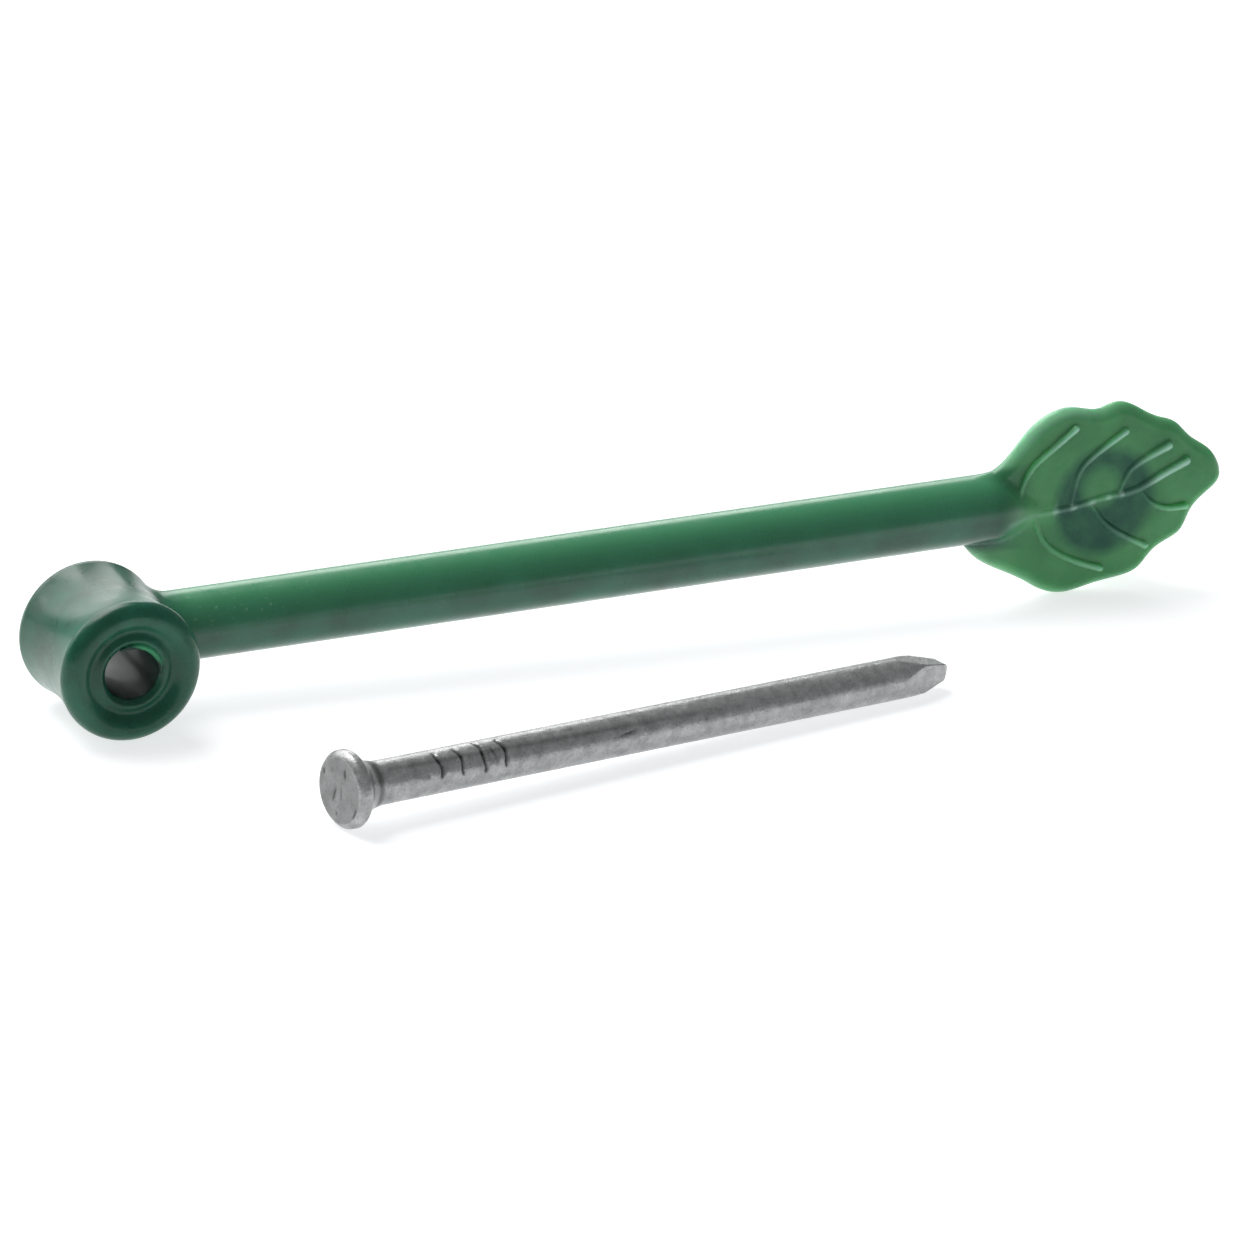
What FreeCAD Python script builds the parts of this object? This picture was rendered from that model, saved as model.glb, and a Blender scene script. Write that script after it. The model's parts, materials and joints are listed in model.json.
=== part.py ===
"""A plant tie for walls: a soft collar on a round flexible arm, a leaf-shaped clip and a loose masonry nail.

The row frame has its origin where the collar's bore axis crosses the arm's axis. +X runs along the arm
towards the leaf, +Y runs along the bore towards the end that takes the nail's head, and +Z is up.
The tie stands on its collar and on the lowest lobe of the leaf, so its arm climbs a little along +X.
The arm is a flexible rod, made here as a chain of short links that turn about upright hinge lines.
"""

import FreeCAD
import Part
import Sketcher
import math
import os
from FreeCAD import Placement, Rotation, Vector

# Driving dimensions in millimetres and degrees.
SIZES = (
    ("collar_diameter", 8.0),
    ("collar_standoff", 5.9),
    ("collar_edge_radius", 0.7),
    ("waist_depth", 0.28),
    ("bore_diameter", 3.1),
    ("bore_chamfer", 0.3),
    ("boss_wall", 0.6),
    ("recess_width", 0.5),
    ("recess_depth", 0.7),
    ("boss_drop", 0.25),
    ("arm_diameter", 4.0),
    ("first_hinge", 6.0),
    ("arm_length", 48.0),
    ("link_gap", 0.06),
    ("notch_clearance", 1.0),
    ("leaf_length", 17.15),
    ("leaf_width", 11.6),
    ("blade_thickness", 1.5),
    ("blade_edge_radius", 0.45),
    ("stub_length", 2.0),
    ("stub_taper", 2.6),
    ("rib_width", 0.5),
    ("rib_height", 0.22),
    ("socket_along", 10.3),
    ("socket_drop", 0.5),
    ("socket_wall", 1.1),
    ("socket_clearance", 0.05),
    ("lip_width", 0.12),
    ("lip_height", 0.4),
    ("closing_clearance", 0.25),
    ("nail_diameter", 2.4),
    ("nail_length", 41.6),
    ("head_diameter", 4.25),
    ("head_bevel", 0.3),
    ("head_thickness", 0.75),
    ("neck_length", 1.5),
    ("point_length", 4.2),
    ("tip_width", 0.7),
    ("grip_start", 5.5),
    ("grip_spacing", 1.4),
    ("grip_depth", 0.1),
    ("grip_width", 0.15),
    ("nail_along", 6.06),
    ("nail_forward", 19.77),
    ("nail_heading", 11.6),
    ("cutter_margin", 1.0),
)

# How far each hinge turns, in degrees, when the arm is closed into its loop, from the collar to the leaf.
CLOSING_ANGLES = (-24, -15, 7, 16, 22, 28, 31, 32, 31, 27, 21, 14, 7, -17)

# The leaf's edge from the arm's top side round the tip to its underside: shares of the leaf's length
# from the last hinge, and of its half width from the arm's axis.
LEAF_EDGE = (
    (0.012, 0.310),
    (0.090, 0.365),
    (0.175, 0.560),
    (0.257, 0.820),
    (0.385, 0.957),
    (0.500, 0.900),
    (0.583, 0.948),
    (0.682, 0.820),
    (0.746, 0.724),
    (0.810, 0.647),
    (0.875, 0.466),
    (0.962, 0.276),
    (1.000, 0.000),
    (0.956, -0.155),
    (0.892, -0.328),
    (0.851, -0.552),
    (0.758, -0.698),
    (0.700, -0.870),
    (0.641, -0.948),
    (0.519, -0.991),
    (0.397, -1.043),
    (0.303, -0.966),
    (0.233, -0.836),
    (0.128, -0.672),
    (0.052, -0.534),
    (0.012, -0.430),
)

# Each raised vein as its start, middle and end, in the same shares.
VEINS = {
    "midrib_root": ((0.15, -0.12), (0.39, -0.080), (0.63, 0.010)),
    "midrib_tip": ((0.62, 0.005), (0.73, 0.110), (0.84, 0.255)),
    "upper_vein_1": ((0.175, -0.06), (0.245, 0.475), (0.390, 0.770)),
    "upper_vein_2": ((0.390, -0.05), (0.435, 0.365), (0.588, 0.665)),
    "upper_vein_3": ((0.575, 0.000), (0.640, 0.285), (0.764, 0.445)),
    "lower_vein_1": ((0.240, -0.12), (0.350, -0.560), (0.520, -0.785)),
    "lower_vein_2": ((0.470, -0.06), (0.570, -0.390), (0.694, -0.610)),
    "lower_vein_3": ((0.650, 0.010), (0.740, -0.190), (0.845, -0.240)),
}

GRIP_MARKS = 5
POINT_FACETS = 4

doc = FreeCAD.newDocument("plant_tie")
sheet = doc.addObject("Spreadsheet::Sheet", "Sizes")
for row, (alias, value) in enumerate(SIZES, start=1):
    sheet.set(f"A{row}", alias)
    sheet.set(f"B{row}", str(value))
    sheet.setAlias(f"B{row}", alias)
doc.recompute()

HINGES = len(CLOSING_ANGLES)
LAST_HINGE = "(Sizes.first_hinge + Sizes.arm_length)"
HEAD_END = "(Sizes.arm_diameter / 2)"
WALL_END = "(-Sizes.collar_standoff)"


def size(expression):
    """The number an expression on the sheet stands for."""
    result = sheet.evalExpression(expression)
    return float(getattr(result, "Value", result))


def hinge_at(index):
    """Where hinge number index crosses the arm's axis, as an expression."""
    return f"(Sizes.first_hinge + {index} * Sizes.arm_length / {HINGES - 1})"


def origin_plane(body, role):
    """One of the body's own origin planes."""
    return next(item for item in body.Origin.OriginFeatures if item.Role == role)


def new_body(name):
    """An empty body whose label names its file."""
    body = doc.addObject("PartDesign::Body", name)
    body.Label = name
    return body


def new_sketch(body, name, role, offset=("0", "0", "0")):
    """A sketch on one of the body's origin planes, moved by an offset in the plane's own axes."""
    sketch = body.newObject("Sketcher::SketchObject", name)
    sketch.AttachmentSupport = (origin_plane(body, role), [""])
    sketch.MapMode = "FlatFace"
    for axis, expression in zip("xyz", offset):
        sketch.setExpression(f".AttachmentOffset.Base.{axis}", expression)
    return sketch


def bind(sketch, kind, geometry, point, expression):
    """Tie one coordinate of a sketch point to the sheet."""
    axis = -2 if kind == "DistanceX" else -1
    value = size(expression)
    if abs(value) < 1e-9:
        sketch.addConstraint(Sketcher.Constraint("PointOnObject", geometry, point, axis))
        return
    if value > 0:
        constraint = Sketcher.Constraint(kind, -1, 1, geometry, point, value)
        bound = expression
    else:
        constraint = Sketcher.Constraint(kind, geometry, point, -1, 1, -value)
        bound = f"-1 * {expression}"
    index = sketch.addConstraint(constraint)
    sketch.setExpression(f"Constraints[{index}]", bound)


def polygon(sketch, corners):
    """A closed outline of straight lines whose corners are pairs of expressions."""
    points = [Vector(size(x), size(y), 0) for x, y in corners]
    first = sketch.GeometryCount
    count = len(points)
    for index, point in enumerate(points):
        sketch.addGeometry(Part.LineSegment(point, points[(index + 1) % count]), False)
    for index in range(count):
        following = first + (index + 1) % count
        sketch.addConstraint(Sketcher.Constraint("Coincident", first + index, 2, following, 1))
    for index, (x, y) in enumerate(corners):
        bind(sketch, "DistanceX", first + index, 1, x)
        bind(sketch, "DistanceY", first + index, 1, y)


def circle(sketch, diameter):
    """A circle about the sketch's own origin."""
    radius = size(diameter) / 2
    index = sketch.addGeometry(Part.Circle(Vector(0, 0, 0), Vector(0, 0, 1), radius), False)
    sketch.addConstraint(Sketcher.Constraint("Coincident", index, 3, -1, 1))
    datum = sketch.addConstraint(Sketcher.Constraint("Diameter", index, 2 * radius))
    sketch.setExpression(f"Constraints[{datum}]", diameter)


def pad(body, name, sketch, length, both_sides=False):
    """Raise a sketch along its plane's normal, or evenly to both sides."""
    feature = body.newObject("PartDesign::Pad", name)
    feature.Profile = sketch
    feature.setExpression("Length", length)
    if both_sides:
        feature.SideType = "Symmetric"
    doc.recompute()
    return feature


def turn(body, kind, name, sketch, axis):
    """A full Revolution or Groove about one of the sketch's axes."""
    feature = body.newObject(f"PartDesign::{kind}", name)
    feature.Profile = sketch
    feature.ReferenceAxis = (sketch, [axis])
    feature.Angle = 360
    doc.recompute()
    return feature


def cut_through(body, name, sketch):
    """Cut a sketch through the whole body to both sides, and make sure that it removes material."""
    before = body.Shape.Volume
    feature = body.newObject("PartDesign::Pocket", name)
    feature.Profile = sketch
    feature.Type = "ThroughAll"
    feature.SideType = "Symmetric"
    doc.recompute()
    if body.Shape.Volume >= before:
        raise RuntimeError(f"{name} cuts nothing")
    return feature


def round_edges(body, name, base, radius, wanted):
    """Fillet the edges of a feature that pass the test."""
    names = [f"Edge{i}" for i, edge in enumerate(base.Shape.Edges, start=1) if wanted(edge)]
    feature = body.newObject("PartDesign::Fillet", name)
    feature.Base = (base, names)
    feature.setExpression("Radius", radius)
    doc.recompute()
    return feature


def circle_of_radius(radius, along_y):
    """A test for full circles about the bore axis with this radius, at one of these heights."""
    def wanted(edge):
        if not isinstance(edge.Curve, Part.Circle):
            return False
        right_size = abs(edge.Curve.Radius - radius) < 1e-4
        return right_size and any(abs(edge.Curve.Center.y - y) < 1e-4 for y in along_y)
    return wanted


def notch_corners(index, towards_leaf):
    """The wedge that frees one side of hinge number index, on the piece before or after it."""
    angle = CLOSING_ANGLES[index]
    side = 1 if angle > 0 else -1
    way = 1 if towards_leaf else -1
    face = f"({hinge_at(index)} + {way} * Sizes.link_gap / 2)"
    reach = "Sizes.arm_diameter"
    slope = f"tan({abs(angle) / 2} deg + Sizes.notch_clearance * 1 deg)"
    return (
        (face, "0"),
        (face, f"{side} * {reach}"),
        (f"({face} + {way} * {reach} * {slope})", f"{side} * {reach}"),
    )


def notch(body, index, towards_leaf):
    """Cut the wedge that hinge number index needs to bend."""
    name = f"{body.Name}_notch_{index + 1}"
    sketch = new_sketch(body, f"{name}_outline", "XY_Plane")
    polygon(sketch, notch_corners(index, towards_leaf))
    cut_through(body, name, sketch)


def closed_leaf():
    """How far the arm's last stretch stands from its first one when the loop is closed."""
    spacing = size("Sizes.arm_length") / (HINGES - 1)
    rise = 0.0
    heading = 0.0
    for angle in CLOSING_ANGLES[:-1]:
        heading += angle
        rise += spacing * math.sin(math.radians(heading))
    return rise


def make_collar():
    """The spool-shaped stand-off with its bore, the recessed wall end and the root of the arm."""
    body = new_body("collar")
    radius = "(Sizes.collar_diameter / 2)"
    bore = "(Sizes.bore_diameter / 2)"
    chamfer = "Sizes.bore_chamfer"
    boss = f"({bore} + Sizes.boss_wall)"
    recess = f"({boss} + Sizes.recess_width)"
    boss_end = f"({WALL_END} + Sizes.boss_drop)"
    recess_floor = f"({WALL_END} + Sizes.recess_depth)"
    profile = new_sketch(body, "collar_profile", "XY_Plane")
    polygon(profile, (
        (f"({bore} + {chamfer})", HEAD_END),
        (radius, HEAD_END),
        (radius, WALL_END),
        (recess, WALL_END),
        (recess, recess_floor),
        (boss, recess_floor),
        (boss, boss_end),
        (f"({bore} + {chamfer})", boss_end),
        (bore, f"({boss_end} + {chamfer})"),
        (bore, f"({HEAD_END} - {chamfer})"),
    ))
    spool = turn(body, "Revolution", "collar_spool", profile, "V_Axis")
    rims = circle_of_radius(size(radius), (size(HEAD_END), size(WALL_END)))
    round_edges(body, "collar_rims", spool, "Sizes.collar_edge_radius", rims)
    cut_waist(body)
    root = new_sketch(body, "arm_root_outline", "YZ_Plane", ("0", "0", f"({bore} + {chamfer})"))
    circle(root, "Sizes.arm_diameter")
    pad(body, "arm_root", root, f"{hinge_at(0)} - Sizes.link_gap / 2 - {bore} - {chamfer}")
    notch(body, 0, towards_leaf=False)
    return body


def cut_waist(body):
    """The shallow hollow round the collar's middle, an arc between its two rims."""
    radius = size("Sizes.collar_diameter / 2")
    high = size(f"{HEAD_END} - Sizes.collar_edge_radius")
    low = size(f"{WALL_END} + Sizes.collar_edge_radius")
    depth = size("Sizes.waist_depth")
    middle = Vector(radius - depth, (high + low) / 2, 0)
    clear = Vector(size("Sizes.cutter_margin"), 0, 0)
    sketch = new_sketch(body, "waist_profile", "XY_Plane")
    top = Vector(radius, high, 0)
    bottom = Vector(radius, low, 0)
    sketch.addGeometry(Part.Arc(top, middle, bottom), False)
    outside = [top, top + clear, bottom + clear, bottom]
    for start, end in zip(outside, outside[1:]):
        sketch.addGeometry(Part.LineSegment(start, end), False)
    before = body.Shape.Volume
    turn(body, "Groove", "waist", sketch, "V_Axis")
    if body.Shape.Volume >= before:
        raise RuntimeError("the waist cuts nothing")


def make_link(index):
    """One short length of the arm, between hinge number index and the next."""
    body = new_body(f"arm_link_{index + 1:02d}")
    start = f"{hinge_at(index)} + Sizes.link_gap / 2"
    section = new_sketch(body, f"{body.Name}_section", "YZ_Plane", ("0", "0", start))
    circle(section, "Sizes.arm_diameter")
    pad(body, f"{body.Name}_rod", section, f"Sizes.arm_length / {HINGES - 1} - Sizes.link_gap")
    notch(body, index, towards_leaf=True)
    notch(body, index + 1, towards_leaf=False)
    return body


def leaf_point(along, across):
    """A point of the leaf's plane from its shares of the leaf's length and half width."""
    x = size(LAST_HINGE) + along * size("Sizes.leaf_length")
    return Vector(x, across * size("Sizes.leaf_width") / 2, 0)


def add_vein(body, name, shares):
    """One raised vein of even width on the leaf's front face."""
    start, middle, end = (leaf_point(*share) for share in shares)
    half = size("Sizes.rib_width") / 2
    normals = []
    for before, after in ((start, middle), (start, end), (middle, end)):
        run = (after - before).normalize()
        normals.append(Vector(-run.y, run.x, 0) * half)
    left = [point + normal for point, normal in zip((start, middle, end), normals)]
    right = [point - normal for point, normal in zip((start, middle, end), normals)]
    sunk = size("Sizes.rib_height")
    sketch = new_sketch(body, f"{name}_outline", "XZ_Plane", ("0", "0", f"Sizes.blade_thickness / 2 - {sunk}"))
    sketch.addGeometry(Part.Arc(*left), False)
    sketch.addGeometry(Part.LineSegment(left[2], right[2]), False)
    sketch.addGeometry(Part.Arc(right[2], right[1], right[0]), False)
    sketch.addGeometry(Part.LineSegment(right[0], left[0]), False)
    pad(body, name, sketch, "2 * Sizes.rib_height")


def make_leaf():
    """The leaf: scalloped blade, raised veins, the arm's tapering end and the socket ring behind."""
    body = new_body("leaf")
    outline = new_sketch(body, "blade_outline", "XZ_Plane")
    edge = [leaf_point(*share) for share in LEAF_EDGE]
    curve = Part.BSplineCurve()
    curve.interpolate(edge)
    outline.addGeometry(curve, False)
    outline.addGeometry(Part.LineSegment(edge[-1], edge[0]), False)
    blade = pad(body, "blade", outline, "Sizes.blade_thickness", both_sides=True)
    faces = [size("Sizes.blade_thickness / 2"), -size("Sizes.blade_thickness / 2")]

    def on_a_face(edge_shape):
        spread = edge_shape.BoundBox
        flat = any(abs(spread.YMin - y) < 1e-4 and abs(spread.YMax - y) < 1e-4 for y in faces)
        return flat and not isinstance(edge_shape.Curve, Part.Line)

    round_edges(body, "blade_edge", blade, "Sizes.blade_edge_radius", on_a_face)
    for name, shares in VEINS.items():
        add_vein(body, name, shares)
    add_stub(body)
    add_socket(body)
    notch(body, HINGES - 1, towards_leaf=True)
    return body


def add_stub(body):
    """The arm's end, which narrows into the blade."""
    start = f"({LAST_HINGE} + Sizes.link_gap / 2)"
    shoulder = f"({LAST_HINGE} + Sizes.stub_length)"
    end = f"({LAST_HINGE} + Sizes.stub_length + Sizes.stub_taper)"
    sketch = new_sketch(body, "stub_profile", "XY_Plane")
    polygon(sketch, (
        (start, "0"),
        (start, "(Sizes.arm_diameter / 2)"),
        (shoulder, "(Sizes.arm_diameter / 2)"),
        (end, "(Sizes.blade_thickness / 2)"),
        (end, "0"),
    ))
    turn(body, "Revolution", "stub", sketch, "H_Axis")


def add_socket(body):
    """The blind socket on the leaf's back that snaps over the nail's head."""
    centre = f"({LAST_HINGE} + Sizes.socket_along)"
    inner = "(Sizes.head_diameter / 2 + Sizes.socket_clearance)"
    outer = f"({inner} + Sizes.socket_wall)"
    lip = f"({inner} - Sizes.lip_width)"
    mouth = f"({closed_leaf():.4f} - {HEAD_END} - Sizes.closing_clearance)"
    sketch = new_sketch(body, "socket_profile", "XY_Plane", (centre, "0", "-Sizes.socket_drop"))
    polygon(sketch, (
        (inner, "0"),
        (outer, "0"),
        (outer, mouth),
        (lip, mouth),
        (lip, f"({mouth} - Sizes.lip_height)"),
        (inner, f"({mouth} - Sizes.lip_height - Sizes.lip_width)"),
    ))
    turn(body, "Revolution", "socket_ring", sketch, "V_Axis")


def make_nail():
    """The masonry nail: disc head, conical neck, round shank, grip marks and a faceted point."""
    body = new_body("nail")
    head = "(Sizes.head_diameter / 2)"
    shank = "(Sizes.nail_diameter / 2)"
    outside = f"({shank} + Sizes.cutter_margin)"
    neck = "(Sizes.head_thickness + Sizes.neck_length)"
    profile = new_sketch(body, "nail_profile", "XZ_Plane")
    polygon(profile, (
        ("0", "0"),
        ("0", f"({head} - Sizes.head_bevel)"),
        ("Sizes.head_bevel", head),
        ("Sizes.head_thickness", head),
        (neck, shank),
        ("Sizes.nail_length", shank),
        ("Sizes.nail_length", "0"),
    ))
    turn(body, "Revolution", "nail_blank", profile, "H_Axis")
    shoulder = "(Sizes.nail_length - Sizes.point_length)"
    facet = new_sketch(body, "facet_outline", "XZ_Plane")
    polygon(facet, (
        (shoulder, shank),
        ("Sizes.nail_length", "(Sizes.tip_width / 2)"),
        ("(Sizes.nail_length + Sizes.cutter_margin)", "(Sizes.tip_width / 2)"),
        ("(Sizes.nail_length + Sizes.cutter_margin)", outside),
        (shoulder, outside),
    ))
    one_facet = cut_through(body, "facet", facet)
    facets = body.newObject("PartDesign::PolarPattern", "facets")
    facets.Originals = [one_facet]
    facets.Axis = (profile, ["H_Axis"])
    facets.Angle = 360
    facets.Occurrences = POINT_FACETS
    body.Tip = facets
    doc.recompute()
    mark = new_sketch(body, "grip_outline", "XZ_Plane")
    polygon(mark, (
        ("Sizes.grip_start", f"({shank} - Sizes.grip_depth)"),
        ("(Sizes.grip_start + Sizes.grip_width)", shank),
        ("(Sizes.grip_start + Sizes.grip_width)", outside),
        ("Sizes.grip_start", outside),
    ))
    one_mark = cut_through(body, "grip_mark", mark)
    marks = body.newObject("PartDesign::LinearPattern", "grip_marks")
    marks.Originals = [one_mark]
    marks.Direction = (profile, ["H_Axis"])
    marks.setExpression("Length", f"Sizes.grip_spacing * {GRIP_MARKS - 1}")
    marks.Occurrences = GRIP_MARKS
    body.Tip = marks
    doc.recompute()
    return body


def tie_placement():
    """The tie turned about the bore axis until the leaf's lowest lobe is level with the collar's underside."""
    lowest = min((leaf_point(*share) for share in LEAF_EDGE), key=lambda point: point.y)
    collar_radius = size("Sizes.collar_diameter / 2")
    distance = math.hypot(lowest.x, lowest.y)
    climb = math.asin(-lowest.y / distance) - math.asin(collar_radius / distance)
    return Placement(Vector(0, 0, 0), Rotation(Vector(0, 1, 0), -math.degrees(climb)))


def nail_placement():
    """The nail lying in front of the arm, on its head's rim and its shank's far end."""
    head = size("Sizes.head_diameter / 2")
    shank = size("Sizes.nail_diameter / 2")
    rim = size("Sizes.head_thickness")
    run = size("Sizes.nail_length - Sizes.point_length - Sizes.head_thickness")
    dip = math.asin((head - shank) / math.hypot(run, head - shank))
    height = rim * math.sin(dip) + head * math.cos(dip) - size("Sizes.collar_diameter / 2")
    place = Vector(size("Sizes.nail_along"), -size("Sizes.nail_forward"), height)
    heading = Rotation(Vector(0, 0, 1), size("Sizes.nail_heading"))
    tilt = Rotation(Vector(0, 1, 0), math.degrees(dip))
    return Placement(place, heading.multiply(tilt))


tie = [make_collar()]
tie += [make_link(index) for index in range(HINGES - 1)]
tie.append(make_leaf())
nail = make_nail()
for tie_body in tie:
    tie_body.Placement = tie_placement()
nail.Placement = nail_placement()
doc.recompute()

for item in doc.Objects:
    if "Invalid" in item.State or "Error" in item.State:
        raise RuntimeError(f"{item.Name} failed: {item.State}")

os.makedirs("parts", exist_ok=True)
for part_body in tie + [nail]:
    shape = part_body.Shape
    if shape.isNull() or not shape.isValid() or len(shape.Solids) != 1:
        raise RuntimeError(f"{part_body.Label} is not one valid solid")
    shape.exportStep(f"parts/{part_body.Label}.step")
    bounds = shape.BoundBox
    print(
        f"{part_body.Label}: {shape.Volume:.2f} mm3,"
        f" x {bounds.XMin:.2f} to {bounds.XMax:.2f},"
        f" y {bounds.YMin:.2f} to {bounds.YMax:.2f},"
        f" z {bounds.ZMin:.2f} to {bounds.ZMax:.2f}"
    )
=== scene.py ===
"""The looks of the plant tie and its masonry nail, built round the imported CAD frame."""

import json
import math

import bmesh
import bpy
import numpy as np
from mathutils import Matrix, Vector


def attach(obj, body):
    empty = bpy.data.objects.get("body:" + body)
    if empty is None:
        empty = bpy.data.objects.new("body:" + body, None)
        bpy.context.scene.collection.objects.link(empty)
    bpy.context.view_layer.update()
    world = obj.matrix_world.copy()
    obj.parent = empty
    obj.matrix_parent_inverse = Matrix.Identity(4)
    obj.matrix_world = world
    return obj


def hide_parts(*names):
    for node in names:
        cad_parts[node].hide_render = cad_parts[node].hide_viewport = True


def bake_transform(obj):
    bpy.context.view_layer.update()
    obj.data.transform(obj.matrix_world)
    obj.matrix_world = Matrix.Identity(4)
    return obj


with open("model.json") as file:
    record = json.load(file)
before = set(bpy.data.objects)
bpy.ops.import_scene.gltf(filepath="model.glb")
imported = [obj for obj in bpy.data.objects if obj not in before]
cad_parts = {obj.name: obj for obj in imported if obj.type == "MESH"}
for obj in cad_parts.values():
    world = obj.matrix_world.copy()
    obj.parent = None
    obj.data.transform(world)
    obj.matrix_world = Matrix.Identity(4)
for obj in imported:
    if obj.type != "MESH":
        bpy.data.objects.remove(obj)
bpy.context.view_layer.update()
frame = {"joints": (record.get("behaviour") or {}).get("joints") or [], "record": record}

MM = 0.001
RECORD = frame["record"]
JOINTS = {joint["name"]: joint for joint in frame["joints"]}
ARM_JOINTS = sorted((j for j in frame["joints"] if j["name"].startswith("arm_bend")),
                    key=lambda j: j["pos_m"][0])

# Sizes in millimetres, in the tie's own axes: x along the arm, y along the bore, z square to both.
# Those axes climb a little from the row frame's, because the tie stands on its collar and its leaf.
COLLAR_RADIUS = 4.0
WALL_END, HEAD_END = -5.9, 2.0
RIM_RADIUS = 0.85
WAIST_DEPTH = 0.28
BORE_RADIUS = 1.55
CHAMFER = 0.3
BOSS_WALL = 0.6
RECESS_WIDTH = 0.5
BOSS_DROP = 0.25
RECESS_DEPTH, RECESS_SPREAD = 0.24, 0.34
FLASH_RADIUS, FLASH_TURN = 0.16, math.radians(52)
ARM_RADIUS = 2.0
LEAF_LENGTH, LEAF_HALF = 17.15, 5.8
BLADE_HALF = 0.75
EDGE_RADIUS = 0.68
RING_ALONG, RING_DROP = 10.3, 0.5
RING_INNER, RING_OUTER, RING_END = 2.175, 3.275, 3.419
LIP_WIDTH, LIP_HEIGHT = 0.12, 0.4
NAIL_RADIUS, NAIL_LENGTH = 1.2, 41.6
NAIL_HEAD, HEAD_BEVEL, HEAD_THICK, NECK = 2.125, 0.3, 0.75, 1.5
POINT_LENGTH, TIP_HALF = 3.7, 0.42

# The leaf's edge: shares of its length from the last hinge, and of its half width from the arm's axis.
LEAF_EDGE = (
    (-0.035, 0.180), (0.012, 0.310), (0.090, 0.365), (0.175, 0.560), (0.257, 0.820), (0.385, 0.957),
    (0.500, 0.900), (0.583, 0.948), (0.682, 0.820), (0.746, 0.724), (0.810, 0.647), (0.875, 0.466),
    (0.962, 0.276), (1.000, 0.000), (0.956, -0.155), (0.892, -0.328), (0.851, -0.552), (0.758, -0.698),
    (0.700, -0.870), (0.641, -0.948), (0.519, -0.991), (0.397, -1.043), (0.303, -0.966), (0.233, -0.836),
    (0.128, -0.672), (0.052, -0.534), (0.008, -0.400), (-0.035, -0.220),
)
# The midrib and then the side veins, as points in millimetres on the blade: along and up.
VEINS = (
    ((56.2, -0.62), (58.1, -0.57), (60.7, -0.46), (63.3, -0.08), (64.9, 0.04), (66.7, 0.78), (68.4, 1.46)),
    ((56.95, -0.20), (57.7, 2.05), (58.8, 3.09), (60.7, 4.46)),
    ((60.7, -0.30), (61.1, 1.6), (61.8, 2.44), (64.1, 3.86)),
    ((63.9, 0.00), (64.5, 1.26), (65.3, 1.85), (67.1, 2.58)),
    ((58.2, -0.70), (59.1, -2.5), (61.0, -3.8), (62.9, -4.55)),
    ((62.05, -0.40), (63.0, -1.7), (64.7, -2.9), (65.9, -3.54)),
    ((65.3, 0.10), (66.1, -0.84), (67.2, -1.34), (68.5, -1.4)),
)

UP = Vector(JOINTS["arm_bend_01"]["axis"])
ALONG = Vector((UP.z, 0.0, -UP.x))
HINGES = [Vector(j["pos_m"]).length / MM for j in ARM_JOINTS]
SPACING = HINGES[1] - HINGES[0]
CHAIN = ["collar"] + [j["child"] for j in ARM_JOINTS]


def to_row(points):
    """Points in the tie's axes, in millimetres, as points in the row frame, in metres."""
    basis = np.array([ALONG, (0.0, 1.0, 0.0), UP])
    return points @ basis * MM


def from_row(vertices):
    """Vertices in the row frame, in metres, as points in the tie's axes, in millimetres."""
    basis = np.array([ALONG, (0.0, 1.0, 0.0), UP])
    return np.array([v.co[:] for v in vertices]) @ basis.T / MM


def smooth_min(a, b, k):
    """The lower of a and b, blended over a width k where they meet."""
    h = np.clip(0.5 + 0.5 * (b - a) / k, 0, 1)
    return b + (a - b) * h - k * h * (1 - h)


def smooth_max(a, b, k):
    return -smooth_min(-a, -b, k)


def round_max(a, b, r):
    """Where both a and b are inside, with the edge between them rounded."""
    a, b = a + r, b + r
    return np.minimum(np.maximum(a, b), 0) + np.hypot(np.maximum(a, 0), np.maximum(b, 0)) - r


def ramp(value, start, end):
    """A smooth step from 0 at start to 1 at end."""
    t = np.clip((value - start) / (end - start), 0, 1)
    return t * t * (3 - 2 * t)


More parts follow.
